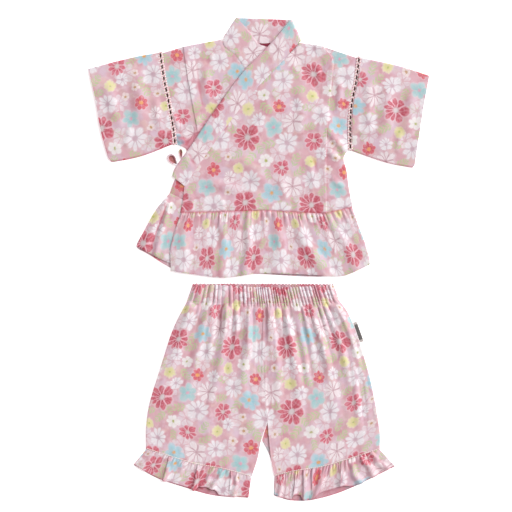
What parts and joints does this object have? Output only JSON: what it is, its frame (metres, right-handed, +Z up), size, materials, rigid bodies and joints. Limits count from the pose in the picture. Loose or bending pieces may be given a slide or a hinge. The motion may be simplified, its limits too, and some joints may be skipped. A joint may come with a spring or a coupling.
{
  "type": "jinbei set",
  "caption": "Child's summer jinbei set laid flat: wrap top with lace-joined sleeves and gathered peplum, and gathered shorts with ruffled hems.",
  "frame": {"origin": "under the middle of the whole set's box, on the surface that it lies on", "axes": "+Z up from the surface, +Y from the shorts towards the neck, +X towards the wearer's left sleeve"},
  "size_m": [0.4949, 0.7013, 0.0078],
  "materials": {
    "printed_cotton": "plain-weave cotton with an all-over flower print on pink, soft and matt",
    "ladder_lace": "off-white cotton ladder lace, matt",
    "woven_label": "bare grey woven tape"
  },
  "bodies": {
    "root": {"body_back": "printed_cotton", "front_right": "printed_cotton", "front_left": "printed_cotton", "sleeve_right": "printed_cotton", "sleeve_left": "printed_cotton", "lace_right_front": "ladder_lace", "lace_right_back": "ladder_lace", "lace_left_front": "ladder_lace", "lace_left_back": "ladder_lace", "collar": "printed_cotton", "peplum_back": "printed_cotton", "peplum_right": "printed_cotton", "peplum_left": "printed_cotton", "tie_loop_upper": "printed_cotton", "tie_loop_lower": "printed_cotton", "waistband": "printed_cotton", "leg_front_right": "printed_cotton", "leg_front_left": "printed_cotton", "leg_back_right": "printed_cotton", "leg_back_left": "printed_cotton", "ruffle_right": "printed_cotton", "ruffle_left": "printed_cotton", "side_label": "woven_label"}
  },
  "joints": []
}
